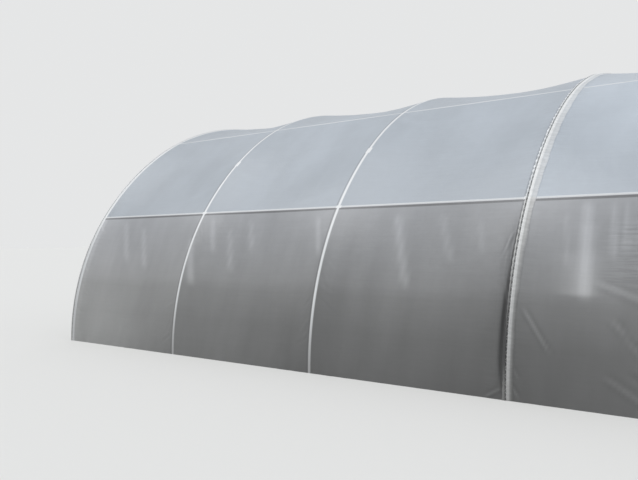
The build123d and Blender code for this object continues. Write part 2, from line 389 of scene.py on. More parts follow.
def cover_shader(name):
    """The covers: pale on tubes, with a painted shadow line below the lower purlin and left of each hoop."""
    s = FilmShader(name)
    from_hoop = s.maths("PINGPONG", s.maths("ADD", s.across, HALF_LENGTH), BAY / 2)
    at_end = s.step(s.beside, HALF_LENGTH - 0.3, HALF_LENGTH - 0.2)
    on_hoop = s.step(s.maths("MULTIPLY_ADD", at_end, -0.030, from_hoop), 0.010, 0.027, 1.0, 0.0)
    pad = s.band(s.near, TO_HOOP_JOINT, half=0.05, soft=0.02)
    pad = s.times(pad, s.step(from_hoop, 0.030, 0.042, 1.0, 0.0))
    crossing = s.band(s.near, TO_LOWER - 0.004, half=0.014, soft=0.014)
    crossing = s.times(crossing, s.step(from_hoop, 0.032, 0.055, 1.0, 0.0))
    contact = s.most(on_hoop, pad, crossing)
    for line, weight in ((TO_LOWER, 0.70), (TO_UPPER, 0.80), (TO_RIDGE, 0.65)):
        on_purlin = s.band(s.near, line - 0.005, half=0.009, soft=0.008)
        contact = s.most(contact, s.times(on_purlin, weight))
    # Painted shadow under the lower purlin's crease, and a thinner one left of each hoop
    below_purlin = s.band(s.near, TO_LOWER - 0.035, half=0.010, soft=0.010)
    from_left = s.maths("FLOORED_MODULO", s.maths("ADD", s.across, HALF_LENGTH + BAY / 2), BAY)
    left_of_hoop = s.band(from_left, BAY / 2 - 0.037, half=0.007, soft=0.008)
    shadow = s.most(s.times(below_purlin, 0.70), s.times(left_of_hoop, 0.32))

    paler = s.times(at_end, s.step(s.near, 0.0, FOOT_TONE_TOP, 0.45, 0.0))
    touch = s.blend(paler, s.touch(), FILM_CONTACT)
    colour = s.blend(shadow, s.toned(s.by_height(FILM_SIDE, FILM_ROOF)), FILM_SHADOW)
    return s.film(s.blend(contact, colour, touch), contact)


def end_shader(name):
    """The end walls' film: pale on posts, rails, header and strut."""
    s = FilmShader(name)
    tube = {"half": 0.014, "soft": 0.008}
    posts = s.band(s.beside, POST_MIDDLE, **tube)
    past_door = s.step(s.beside, DOOR_HALF - 0.002, DOOR_HALF + 0.002)
    rails = s.times(s.band(s.along, RAIL_MIDDLE, **tube), past_door)
    header = s.band(s.along, HEADER_MIDDLE, **tube)
    above_door = s.step(s.along, DOOR_HEIGHT, DOOR_HEIGHT + 0.01)
    strut = s.times(s.band(s.across, 0.0, **tube), above_door)
    contact = s.times(s.most(posts, rails, strut, header), 0.7)
    # Painted shade: the end film darker towards its foot
    colour = s.toned(s.ramp(s.maths("DIVIDE", s.along, RISE), *END_FILM))
    return s.film(s.blend(contact, colour, s.touch()), contact)


def flap_shader(name):
    """The loose edges beside the locks: gathered, with painted shadow where the wire draws them into the
    channel.
    """
    s = FilmShader(name)
    colour = s.blend(s.layer("edge"), s.by_height(FLAP_FILM, FLAP_ROOF), s.by_height(FILM_SIDE, FILM_ROOF))
    touch = s.blend(s.step(s.near, -0.4, 2.4), FLAP_CONTACT_FOOT, FLAP_CONTACT)
    contact = s.times(s.band(s.across, 0.021, half=0.009, soft=0.014), 0.75)
    gathers = s.noise(s.uv, (9.0, 38.0, 1.0), 3.0, 0.6)
    sway = s.times(s.noise(s.uv, (1.0, 6.0, 1.0), 2.0), 5.0)
    beat = s.maths("SINE", s.maths("MULTIPLY_ADD", s.along, math.pi / WIRE_HALF_PERIOD, sway))
    # Painted shadow in the channel's gap, in dashes between the wire's crossings
    shadow = s.band(s.across, -0.0040, half=0.0048, soft=0.0030)
    shadow = s.times(shadow, s.step(beat, -0.4, 0.3, 0.05, 0.66), s.step(s.near, 0.1, 0.5, 0.35, 1.0))
    shadow = s.times(shadow, s.step(s.near, TO_LOWER, TO_LOWER + 0.7, 1.0, 0.42))
    colour = s.blend(contact, s.toned(colour), touch)
    # Painted light and shade along the gathers
    colour = s.shaded(colour, s.step(gathers, 0.3, 0.7, 0.90, 1.06))
    return s.film(s.blend(shadow, colour, FILM_SHADOW), contact, gathers)


def zinc_shader(name, colour, spangle=55.0, roughness=0.42):
    """Galvanised steel: a faint spangle, patches of white bloom, and scuffs along the tube."""
    s = Shader(bpy.data.materials.new(name))
    place = s.place()
    crystals = s.add("TexVoronoi")
    s.link(place, crystals.inputs["Vector"])
    crystals.inputs["Scale"].default_value = spangle
    bloom = s.noise(place, 6.0, 5.0, 0.65)
    scuff = s.noise(place, (3.0, 60.0, 60.0), 3.0, 0.6)
    dark = tuple(c * 0.86 for c in colour)
    pale = tuple(min(c * 1.12, 1.0) for c in colour)
    tint = s.blend(s.step(crystals.outputs["Color"], 0.0, 1.0), dark, colour)
    tint = s.blend(s.step(bloom, 0.5, 0.75, end=0.6), tint, pale)
    tint = s.blend(s.step(scuff, 0.62, 0.75, end=0.35), tint, dark)
    dullness = s.step(bloom, 0.3, 0.75, roughness - 0.08, roughness + 0.16)
    return s.finish(tint, dullness, s.bump(scuff, 0.0002), metallic=0.85)


def aluminium_shader(name):
    """Mill-finish extrusion: fine lines along the length and dull oxide patches."""
    s = Shader(bpy.data.materials.new(name))
    place = s.place()
    lines = s.noise(place, (900.0, 2.0, 2.0), 2.0, 0.5)
    patches = s.noise(place, 9.0, 4.0, 0.6)
    tint = s.blend(s.step(patches, 0.4, 0.7), (0.74, 0.75, 0.76), (0.64, 0.65, 0.67))
    return s.finish(tint, s.step(patches, 0.3, 0.7, 0.30, 0.46), s.bump(lines, 0.00005), metallic=0.9)


def coated_shader(name, colour, roughness, grain):
    """A plastic coat or tape: a soft sheen, faint mottling and a fine grain."""
    s = Shader(bpy.data.materials.new(name))
    place = s.place()
    mottle = s.noise(place, 22.0, 3.0, 0.5)
    fine = s.noise(place, grain, 2.0, 0.5)
    shade = tuple(c * 0.9 for c in colour)
    tint = s.blend(s.step(mottle, 0.35, 0.7), colour, shade)
    dullness = s.step(mottle, 0.3, 0.7, roughness - 0.06, roughness + 0.08)
    return s.finish(tint, dullness, s.bump(fine, 0.0001))


MATERIALS = {
    "cover": cover_shader("cover_film"),
    "end": end_shader("end_film"),
    "flap": flap_shader("flap_film"),
    "hoop": zinc_shader("galvanised_hoop", (0.60, 0.62, 0.63)),
    "purlin": zinc_shader("galvanised_purlin", (0.56, 0.58, 0.60), 75.0, 0.36),
    "frame": zinc_shader("galvanised_box", (0.54, 0.56, 0.575), 40.0, 0.40),
    "strap": zinc_shader("zinc_strap", (0.50, 0.52, 0.54), 120.0, 0.34),
    "bolt": zinc_shader("zinc_bolt", (0.62, 0.62, 0.60), 300.0, 0.28),
    "channel": aluminium_shader("mill_aluminium"),
    "wire": coated_shader("coated_wire", (0.84, 0.85, 0.84), 0.34, 900.0),
    "tape": coated_shader("foam_tape", (0.82, 0.82, 0.80), 0.75, 420.0),
}


# The smooth shape of the covers
def bay_bulge(x, start, end):
    """How much of the hoop's curve the film keeps between two hoops."""
    t = (2 * x - start - end) / (end - start)
    return MID_BAY_BULGE + (1 - MID_BAY_BULGE) * np.clip(t, -1, 1) ** 2


def cover_rows():
    """The rows of a cover: strip of the arch, share of the strip, and length along the hoop."""
    strips, shares, along = [], [], []
    for number, (low, high) in enumerate(zip(HOLDS, HOLDS[1:])):
        coarse = 0.0215 if number in (0, len(STRIP_RADII) - 1) else 0.080
        places = spaced(high - low, first=0.008, growth=0.2, reach=0.0, fine=0.010, coarse=coarse)
        if number:
            places = places[1:]
        strips += [number] * len(places)
        shares += list(places / (high - low))
        along += list(low + places)
    return np.array(strips), np.array(shares), np.array(along)


def film_surface(outs, bulges, strips, shares):
    """Points and outward ways of the film at each row and column."""
    hold, way = arch_at(HOLDS)
    low = hold[strips][:, None, :] + outs[None, :, None] * way[strips][:, None, :]
    high = hold[strips + 1][:, None, :] + outs[None, :, None] * way[strips + 1][:, None, :]
    chord = high - low
    size = np.linalg.norm(chord, axis=2)
    u = chord / size[..., None]
    n = np.stack([-u[..., 1], u[..., 0]], axis=-1)
    full = np.array(STRIP_RADII)[strips][:, None] + outs[None, :]
    sag = bulges[None, :] * (full - np.sqrt(full**2 - size**2 / 4))
    radius = (size**2 / 4 + sag**2) / (2 * sag)
    turn = (2 * shares[:, None] - 1) * np.arcsin(size / 2 / radius)
    flat = (low + high) / 2 + u * (radius * np.sin(turn))[..., None]
    lift = radius * np.cos(turn) - radius + sag
    outward = u * np.sin(turn)[..., None] + n * np.cos(turn)[..., None]
    return flat + n * lift[..., None], outward


# Folds that the photograph shows beside the joint, each from one (x, length along the hoop) to another,
# with the width and the height of its crest
SEEN_FOLDS = [
    ((0.11, 0.96), (0.44, 0.46), 0.027, 0.0050),
    ((0.05, 0.34), (0.13, 0.22), 0.024, 0.0035),
    ((0.03, 0.18), (0.14, 0.02), 0.024, 0.0050),
    ((0.74, 1.26), (1.35, 1.02), 0.045, 0.0035),
    ((0.92, 0.92), (1.32, 0.46), 0.040, 0.0035),
    ((1.02, 0.80), (1.48, 0.36), 0.042, -0.0030),
    ((0.88, 0.36), (1.40, 0.05), 0.040, 0.0035),
    ((1.10, 0.42), (1.62, 0.12), 0.042, -0.0030),
    ((-0.04, 0.12), (-0.24, 0.00), 0.024, 0.0045),
    ((-0.06, 1.80), (-0.17, 1.44), 0.024, 0.0030),
    ((-0.08, 1.22), (-0.04, 0.96), 0.022, 0.0025),
]

# Painted streaks of light in the side film, each with its x at the top, lean, half width, lowest and highest
# length along the hoop, and strength
SEEN_STREAKS = [
    (0.64, 0.05, 0.058, 1.08, 2.12, 0.50),
    (0.64, 0.03, 0.110, 1.09, 1.88, 0.18),
    (0.61, 0.00, 0.200, 1.10, 1.58, 0.30),
    (0.44, 0.10, 0.030, 1.40, 2.00, 0.16),
    (0.89, 0.06, 0.035, 1.50, 2.10, 0.26),
    (1.01, 0.05, 0.030, 1.60, 2.10, 0.22),
    (-1.59, 0.29, 0.050, 1.15, 2.05, 0.36),
    (-1.00, 0.35, 0.050, 1.45, 2.05, 0.20),
    (-0.50, 0.20, 0.040, 1.55, 1.98, 0.14),
    (-5.05, 0.34, 0.065, 1.05, 1.75, 0.44),
    (-4.76, 0.38, 0.050, 1.55, 2.08, 0.26),
    (-4.36, 0.31, 0.045, 1.28, 1.92, 0.28),
    (-4.01, 0.30, 0.045, 1.60, 2.08, 0.22),
    (-2.79, 0.35, 0.045, 1.50, 2.06, 0.24),
    (-6.85, 0.43, 0.060, 1.40, 2.10, 0.26),
    (-6.36, 0.42, 0.055, 1.30, 1.98, 0.28),
]
SEEN_REACH = 1.2
STREAK_SPACING = 0.58


def drawn_streaks():
    """The seen streaks, and drawn ones for the rest of the front and for the back, marked True."""
    front = [(*streak, False) for streak in SEEN_STREAKS]
    rest = []
    for start in np.arange(-HALF_LENGTH + 0.4, HALF_LENGTH - 0.3, STREAK_SPACING):
        x = start + rng.uniform(-0.2, 0.2)
        low = rng.uniform(1.05, 1.6)
        streak = (x, rng.uniform(-0.2, 0.2), rng.uniform(0.03, 0.065), low, 2.08, rng.uniform(0.10, 0.30))
        if x > SEEN_REACH:
            rest.append((*streak, False))
        rest.append((-x, *streak[1:], True))
    return front + rest


def side_fold(hoop, side, growth):
    """A short fold from beside a hoop down the side film."""
    start = rng.uniform(0.15, 2.05)
    length = rng.uniform(0.14, 0.34)
    lean = rng.uniform(0.4, 1.15)
    low = (hoop + side * 0.035, start)
    high = (hoop + side * (0.035 + length * math.cos(lean)), start - length * math.sin(lean))
    height = rng.uniform(0.0010, 0.0022) * growth
    return low, high, rng.uniform(0.024, 0.034), height * rng.choice([-1, 1])


def roof_fold(hoop, side):
    """A long low fold from beside a hoop over the roof film."""
    start = rng.uniform(TO_LOWER + 0.3, TO_RIDGE - 0.6)
    reach = rng.uniform(0.4, 0.9)
    low, high = (hoop + side * 0.04, start), (hoop + side * reach, start - rng.uniform(0.1, 0.5))
    return low, high, rng.uniform(0.08, 0.12), rng.uniform(0.0006, 0.0012)


def hoop_folds(hoop, side):
    """Folds on one side of a hoop, from the front foot to the ridge, more and higher at the end hoops."""
    count, growth = (9, 1.5) if hoop in (HOOPS[0], HOOPS[-1]) else (4, 1.0)
    return [side_fold(hoop, side, growth) for _ in range(count)] + [roof_fold(hoop, side) for _ in range(3)]


def drawn_folds():
    """The seen folds, and drawn ones that fan out and down from every hoop, front and back."""
    folds = list(SEEN_FOLDS)
    for hoop, side in BAY_ENDS:
        if hoop != JOINT:
            folds += hoop_folds(hoop, side)
        for low, high, width, height in hoop_folds(hoop, side):
            low, high = (low[0], ARCH_LENGTH - low[1]), (high[0], ARCH_LENGTH - high[1])
            folds.append((low, high, width, height))
    return folds


STREAKS = drawn_streaks()
FOLDS = drawn_folds()
WAVES = [(rng.uniform(8, 22), rng.uniform(0, FULL_TURN), rng.uniform(-0.6, 0.6)) for _ in range(7)]
HEM_WAVES = [(rng.uniform(14, 40), rng.uniform(0, FULL_TURN)) for _ in range(5)]
SIDE_WAVE = 0.0042
ROOF_WAVE = 0.0024
HEM_WAVE = 0.0060
GATHER_DEPTH = 0.008
# Painted light on each fold's crest and painted shade in its grooves, per metre of the fold's height
FOLD_SHADE = 20.0
SEEN_FOLD_SHADE = 54.0
PLAIN_LIGHT_AND_TONE = 0.5


# The film's small relief, and its tones with painted light and shade
def ridge_wave(x, along, start, end, width):
    """A fold from one (x, along) to another: a crest between two grooves, with soft ends."""
    way = np.array(end) - np.array(start)
    length = np.linalg.norm(way)
    way = way / length
    dx, ds = x - start[0], along - start[1]
    run = dx * way[0] + ds * way[1]
    beside = (-dx * way[1] + ds * way[0]) / width
    ends = smooth(run, 0, 0.22 * length) * fade(run, 0.7 * length, length)
    return ends * (1 - 2 * beside**2) * np.exp(-(beside**2))


def film_waves(x, along):
    """Low waves in the free film and along its foot, and the painted light and shade that go with them."""
    near = from_foot(along)
    on_side = near < TO_LOWER
    from_hoop = np.min([np.abs(x - hoop) for hoop in HOOPS], axis=0)
    slack = smooth(near, 0.0, 0.25)
    for line in HOLDS[1:4]:
        slack = slack * smooth(np.abs(near - line), 0.0, 0.22)
    waves = sum(np.sin(k * x + phase + lean * along) for k, phase, lean in WAVES) / len(WAVES)
    hem = sum(np.sin(k * x + phase) for k, phase in HEM_WAVES) / len(HEM_WAVES)
    out = np.where(on_side, SIDE_WAVE, ROOF_WAVE) * waves * smooth(from_hoop, 0.03, 0.40) * slack
    out += HEM_WAVE * hem * smooth(from_hoop, 0.04, 0.16) * fade(near, 0.02, 0.30)
    return out, PLAIN_LIGHT_AND_TONE + 0.05 * waves * slack * on_side


def add_folds(x, along, out, haze):
    """Adds every fold, in the columns that it reaches, with painted light on its crest and painted shade in
    its grooves.
    """
    for number, (start, end, width, height) in enumerate(FOLDS):
        low, high = sorted((start[0], end[0]))
        picked = (x[0] > low - 4 * width) & (x[0] < high + 4 * width)
        if picked.any():
            fold = height * ridge_wave(x[:, picked], along[:, picked], start, end, width)
            out[:, picked] += fold
            haze[:, picked] += (SEEN_FOLD_SHADE if number < len(SEEN_FOLDS) else FOLD_SHADE) * fold


def add_gather(x, along, out, haze):
    """Gathers the film left of the joint, up to the lower purlin, with painted shade in and beside the
    gather.
    """
    gather = fade(along, 1.45, 2.12) * smooth(along, -0.05, 0.30)
    groove = JOINT - 0.055
    out -= GATHER_DEPTH * gather * np.exp(-(((x - groove) / 0.020) ** 2))
    out += GATHER_DEPTH * gather * np.exp(-(((x - groove + 0.060) / 0.028) ** 2))
    left_of = JOINT - x
    there = (left_of > 0) * (along < TO_LOWER)
    reach = 0.024 + 0.066 * fade(along, 0.6, 2.2) * smooth(along, -0.25, 0.45)
    # Painted shade: a dark strip along the gather, and a wider soft one
    haze -= 0.46 * fade(left_of, reach - 0.014, reach + 0.014) * there * smooth(along, -0.1, 0.15)
    wide_shade = np.exp(-((left_of / 0.17) ** 2)) * there
    haze -= 0.26 * wide_shade * smooth(along, 0.1, 0.9) * fade(along, 1.7, 2.12)


def add_streaks(x, along, haze):
    """Adds the painted streaks of light, brightest at their lower ends."""
    for place, lean, half, low, high, strength, back in STREAKS:
        length = ARCH_LENGTH - along if back else along
        middle = place + lean * (high - length)
        soft = 0.025 if half > 0.07 else 0.09
        ends = smooth(length, low - soft, low + soft) * fade(length, high - 0.10, high + 0.04)
        ends = ends * (0.55 + 0.45 * np.clip((high - length) / (high - low), 0, 1))
        haze += strength * ends * np.exp(-(np.abs((x - middle) / half) ** 2.6))


def side_tone(x, along):
    """The side film's painted light and shade: painted light paler towards the ends, painted shade darker
    left of the joint.
    """
    near = from_foot(along)
    away, from_end = np.abs(x), HALF_LENGTH - np.abs(x)
    lower_down = 0.70 - 0.44 * smooth(near, 0.2, 1.3) - 0.20 * smooth(near, 1.1, 2.0)
    tone = smooth(away, 2.2, 7.3) * lower_down
    tone += 0.16 * smooth(away, 5.8, 7.4) * (1 - 0.6 * smooth(near, 1.3, 2.0))
    tone += 0.30 * smooth(away, 5.4, 7.3) * fade(near, 0.4, 1.25)
    # Painted light in a band beside each end hoop
    tone += 0.20 * smooth(from_end, 0.02, 0.05) * fade(from_end, 0.10, 0.17)
    left_dip = np.exp(-(((x - JOINT + 0.50) / 0.60) ** 2)) * (x < JOINT) * (along < TO_RIDGE)
    tone -= left_dip * (0.12 - 0.04 * smooth(near, 0.6, 1.4))
    return tone + (x > JOINT) * (0.05 * smooth(near, 0.9, 1.9) - 0.03 * fade(near, 0.3, 0.9))


def roof_tone(x, along):
    """The roof film's tone: painted light paler up to the ridge, and the right cover's own paler tone right
    of the joint.
    """
    up_roof = smooth(from_foot(along), 2.3, 4.3)
    tone = 0.10 * up_roof - 0.06 - 0.06 * smooth(np.abs(x), 4.0, 7.0)
    tone += 0.11 * smooth(x, -0.1, 0.8) * fade(x, 2.6, 5.5) * up_roof
    return tone + 0.12 * (x > JOINT)


def film_relief(x, along):
    """How far the film stands out from its smooth shape, its painted light, shade and tone, and how rippled
    it is.
    """
    out, haze = film_waves(x, along)
    add_folds(x, along, out, haze)
    add_gather(x, along, out, haze)
    add_streaks(x, along, haze)
    haze += np.where(from_foot(along) < TO_LOWER, side_tone(x, along), roof_tone(x, along))
    right_of_joint = smooth(x, 0.70, 1.05) * fade(x, 2.3, 2.5)
    right_of_joint *= smooth(along, 1.0, 1.4) * fade(along, 1.8, 2.0)
    from_lock = np.min([np.abs(x - lock) for lock in LOCKS], axis=0)
    return out, haze, 0.7 * right_of_joint + 0.20 * fade(from_lock, 0.08, 0.34)


# The film's way over a lip of a lock channel and down under the wire: distance from the hoop, and out
LIP_WAY = [(0.0450, 0.0040), (0.0340, 0.0068), (0.0245, 0.0104), (0.0186, 0.0130), (0.0155, 0.0138)]
LIP_WAY += [(0.0115, 0.0138), (0.0085, 0.0128), (0.0083, 0.0108), (0.0102, 0.0099), (0.0138, 0.0097)]
LIP_WAY += [(0.0138, 0.0034), (0.0060, 0.0031), (0.0010, 0.0031)]
LIP_REACH = LIP_WAY[0][0] + 0.008


def cover_columns(first, last, inner):
    """The columns of a cover: place, distance out, and how much of the hoop's curve they keep."""
    holds = [first + CHANNEL_EDGE, *inner, last - CHANNEL_EDGE]
    x, bulge = [], []
    for start, end in zip(holds, holds[1:]):
        coarse = 0.042 if start < SEEN_REACH < end else 0.066
        places = spaced(end - start, first=0.006, growth=0.2, reach=0.30, fine=0.0175, coarse=coarse)
        places = start + (places if start == holds[0] else places[1:])
        places = places[(places > first + LIP_REACH) & (places < last - LIP_REACH)]
        x += list(places)
        bulge += list(bay_bulge(places, start, end))
    lip_x, lip_out = np.array(LIP_WAY).T
    out = np.concatenate([lip_out[::-1], np.full(len(x), COVER_OUT), lip_out])
    x = np.concatenate([first + lip_x[::-1], x, last - lip_x])
    edge = np.minimum(x - first, last - x)
    lip_bulge = 1 - (1 - MID_BAY_BULGE) * 4 * edge / BAY
    bulge = np.concatenate([lip_bulge[:len(lip_x)], bulge, lip_bulge[-len(lip_x):]])
    return x, out, bulge


def make_cover(name, first, last):
    """One film cover over the bays between two channels."""
    inner = [hoop for hoop in HOOPS if first < hoop < last]
    x, out, bulge = cover_columns(first, last, inner)
    strips, shares, lengths = cover_rows()
    point, outward = film_surface(out, bulge, strips, shares)
    across = np.broadcast_to(x, point.shape[:2]).copy()
    along = np.broadcast_to(lengths[:, None], point.shape[:2]).copy()
    relief, haze, ripple = film_relief(across, along)
    edge = np.minimum(x - first, last - x)
    calm = (first == JOINT) & (x - first < last - x)
    relief *= np.where(calm, smooth(edge, 0.07, 0.16), smooth(edge, 0.018, 0.06))
    points = np.concatenate([across[..., None], point + outward * relief[..., None]], axis=2)
    points[..., 2] = np.maximum(points[..., 2], 0.0)
    measure = np.stack([across, along], axis=-1)
    piece = sheet_piece(name + "_film", points, measure, MATERIALS["cover"], haze=haze, ripple=ripple)
    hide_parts(name)


# Flaps: the way over the lip as distance from the hoop and out, then shares of the width and out
LIP_PROFILE = [(0.0008, 0.0046), (0.0134, 0.0046), (0.0134, 0.0093), (0.0100, 0.0095), (0.0079, 0.0108)]
LIP_PROFILE += [(0.0080, 0.0134), (0.0112, 0.0146), (0.0157, 0.0147), (0.0190, 0.0140)]
FLAP_STYLES = {
    "flat": [(0.10, 0.0126), (0.24, 0.0100), (0.42, 0.0076), (0.62, 0.0060), (0.82, 0.0050), (1.0, 0.0044)],
    "turned": [(0.25, 0.0125), (0.5, 0.0080), (0.75, 0.0015), (1.0, -0.0060)],
    "trimmed": [(0.5, 0.0142), (1.0, 0.0136)],
}
# Their width at the foot, and its changes up the arch: by how much, from which length to which
FLAP_WIDTHS = {
    "flat": (0.072, (0.014, 0.8, 1.8), (0.016, 1.9, 2.4)),
    "turned": (0.050, (-0.016, 1.5, 2.3)),
    "trimmed": (0.037, (-0.013, 0.05, 0.4)),
}


def drawn_waves(along, *rates):
    """The mean of waves with drawn phases."""
    return sum(np.sin(rate * along + rng.uniform(0, FULL_TURN)) for rate in rates) / len(rates)


def flap_motion(style, near, pinch, flutter):
    """How far a flap's free edge lifts, and how far it strays beyond its width."""
    if style == "trimmed":
        return 0.0022 * pinch, (pinch + flutter) * (0.0016 + 0.0034 * smooth(near, 1.9, 2.6))
    return (0.0045 if style == "turned" else 0.0014) * flutter, np.zeros(len(near))


def flap_tone(style, near, slow, pinch):
    """A flap's painted light and shade at each length: paler up the roof, and on the trimmed edge darker low
    down and beating with the wire's pinches over the roof.
    """
    if style != "trimmed":
        return PLAIN_LIGHT_AND_TONE + 0.03 * slow + 0.10 * smooth(near, 2.3, 3.8)
    tone = 0.30 - 0.50 * smooth(near, 0.05, 0.45) + 0.72 * smooth(near, 0.55, 1.6)
    return tone + smooth(near, TO_LOWER, TO_LOWER + 0.5) * (0.10 + 0.14 * pinch)


def cover_sag(near):
    """The depth of the hoop's curve over its chord between two holds."""
    sag = 0.0
    for low, high, radius in zip(HOLDS, HOLDS[1:4], STRIP_RADII):
        share = (near - low) / (high - low)
        depth = radius * (1 - math.cos((high - low) / radius / 2))
        sag = sag + depth * np.maximum(4 * share * (1 - share), 0)
    return sag


def make_flap(name, hoop, side, style, node=None):
    """A loose strip of film beside a channel, from foot to foot, out over the lip."""
    steps = 4 if style == "trimmed" else 2
    along = np.linspace(0, ARCH_LENGTH, int(steps * ARCH_LENGTH / (2 * WIRE_HALF_PERIOD)) + 1)
    near = from_foot(along)
    slow = drawn_waves(along, 5.3, 11.9, 23.7)
    flutter = drawn_waves(along, 9.1, 19.3, 38.1)
    pinch = np.sin(math.pi * along / WIRE_HALF_PERIOD + 2.5 * slow)
    lift, stray = flap_motion(style, near, pinch, flutter)
    start, *changes = FLAP_WIDTHS[style]
    width = sum((change * smooth(near, low, high) for change, low, high in changes), start)

    rows = np.ones((len(along), 1))
    lip_x, lip_out = np.array(LIP_PROFILE).T
    share, free_out = np.array(FLAP_STYLES[style]).T
    free = width * (1 + 0.06 * slow) - lip_x[-1] + stray
    dx = np.concatenate([rows * lip_x, lip_x[-1] + share * free[:, None]], axis=1)
    out = np.concatenate([rows * lip_out, free_out + lift[:, None] * share**2], axis=1)
    x = hoop + side * dx
    edge = np.zeros(dx.shape)
    if style == "flat":
        bulge = bay_bulge(x, hoop + side * CHANNEL_EDGE, hoop + side * BAY)
        out -= (1 - bulge) * cover_sag(near)[:, None] * (dx > CHANNEL_EDGE)
        edge[:, len(lip_x):] = smooth(share, 0.25 + 0.55 * smooth(near, 1.2, 2.2)[:, None], 1.0)
    base, way = arch_at(along)
    yz = base[:, None, :] + way[:, None, :] * out[..., None]
    points = np.concatenate([x[..., None], yz], axis=2)
    points[..., 2] = np.maximum(points[..., 2], 0.0)

    lengths = np.broadcast_to(along[:, None], dx.shape)
    measure = np.stack([-dx if style == "trimmed" else dx, lengths], axis=-1)
    haze = np.broadcast_to(flap_tone(style, near, slow, pinch)[:, None], dx.shape)
    piece = sheet_piece(name, points, measure, MATERIALS["flap"], haze=haze, edge=edge)
    if node:
        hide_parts(node)


# End walls
END_FILM_INSIDE = 0.0015
END_FILM_OUT = 0.0018


def end_outline(height):
    """Half the width of the end film at a height."""
    if height <= LOWER_PURLIN:
        return HAUNCH_CENTRE + math.sqrt((HAUNCH_RADIUS - END_FILM_INSIDE) ** 2 - height**2)
    return math.sqrt(max((CROWN_RADIUS - END_FILM_INSIDE) ** 2 - (height + CROWN_DROP) ** 2, 0))


def end_top(across):
    """The height of the end film's top at a distance from its middle."""
    return np.sqrt((CROWN_RADIUS - END_FILM_INSIDE) ** 2 - across**2) - CROWN_DROP


def end_relief(y, z):
    """Small waves of an end film between the tubes that it is drawn over."""
    beside_door, above_door = np.abs(y) - DOOR_HALF, z - DOOR_HEIGHT
    still = smooth(np.abs(np.abs(y) - POST_MIDDLE), 0.02, 0.25) * smooth(z, 0.0, 0.2)
    still = still * np.where(beside_door > 0, smooth(np.abs(z - RAIL_MIDDLE), 0.02, 0.22), 1)
    still = still * smooth(np.abs(z - HEADER_MIDDLE), 0.02, 0.22)
    waves = np.sin(9.0 * y + 2.0 * z) + np.sin(15.0 * y - 3.1 * z + 1.0) + np.sin(4.5 * z + 6.0 * y + 2.0)
    corner = np.sin(30 * np.arctan2(above_door, beside_door + 1e-6))
    close = np.exp(-np.hypot(above_door, beside_door) / 0.35)
    return 0.0014 * waves * still + 0.0018 * corner * close * still


def make_end_film(end, part):
    """The film of an end wall beside the doorway, or over it."""
    side = -1 if end == "left_end" else 1
    if part == "above_door":
        across = np.linspace(-DOOR_HALF, DOOR_HALF, 90)
        shares = np.linspace(0, 1, 56)[:, None]
        y = np.broadcast_to(across, (len(shares), len(across))).copy()
        z = DOOR_HEIGHT + shares * (end_top(across) - DOOR_HEIGHT)
    else:
        way = -1 if part == "front" else 1
        heights = np.linspace(0, end_top(DOOR_HALF + 0.004), 120)
        widths = np.array([end_outline(height) for height in heights]) - DOOR_HALF
        y = way * (DOOR_HALF + np.linspace(0, 1, 76) * widths[:, None])
        z = np.broadcast_to(heights[:, None], y.shape).copy()
    x = side * (HALF_LENGTH + HOOP_RADIUS + END_FILM_OUT) + side * np.abs(end_relief(y, z))
    points = np.stack([x, y, z], axis=-1)
    haze = PLAIN_LIGHT_AND_TONE + 0.03 * np.sin(2.3 * y + 1.1 * z)
    piece = sheet_piece(f"{end}_sheet_{part}", points, np.stack([y, z], axis=-1), MATERIALS["end"], haze=haze)
    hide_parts(f"{end}_film_{part}")


# Lock wires
WIRE_RADIUS = 0.0016
WIRE_REACH = 0.0118
WIRE_OUT = 0.0080
WIRE_BEND = [(-0.0065, 0.80), (-0.0030, 0.97), (0.0030, 0.97), (0.0065, 0.80)]


def make_wire(name, hoop):
    """The spring wire that holds the film in a channel, bent to and fro under its lips."""
    count = int(ARCH_LENGTH / WIRE_HALF_PERIOD)
    turns = np.arange(count)[:, None]
    bend, reach = np.array(WIRE_BEND).T
    yz, way = arch_at((turns + 0.5) * (ARCH_LENGTH / count) + bend)
    x = hoop + np.where(turns % 2, 1, -1) * WIRE_REACH * reach
    points = np.concatenate([x[..., None], yz + way * WIRE_OUT, np.ones((*x.shape, 1))], axis=2)
    curve = bpy.data.curves.new(name, "CURVE")
    curve.dimensions = "3D"
    curve.bevel_depth = WIRE_RADIUS
    curve.bevel_resolution = 1
    curve.use_fill_caps = True
    spline = curve.splines.new("POLY")
    spline.points.add(x.size - 1)
    spline.points.foreach_set("co", points.astype(np.float32).ravel())
    curve.materials.append(MATERIALS["wire"])
    piece = placed(name, curve)
    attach(piece, "root")


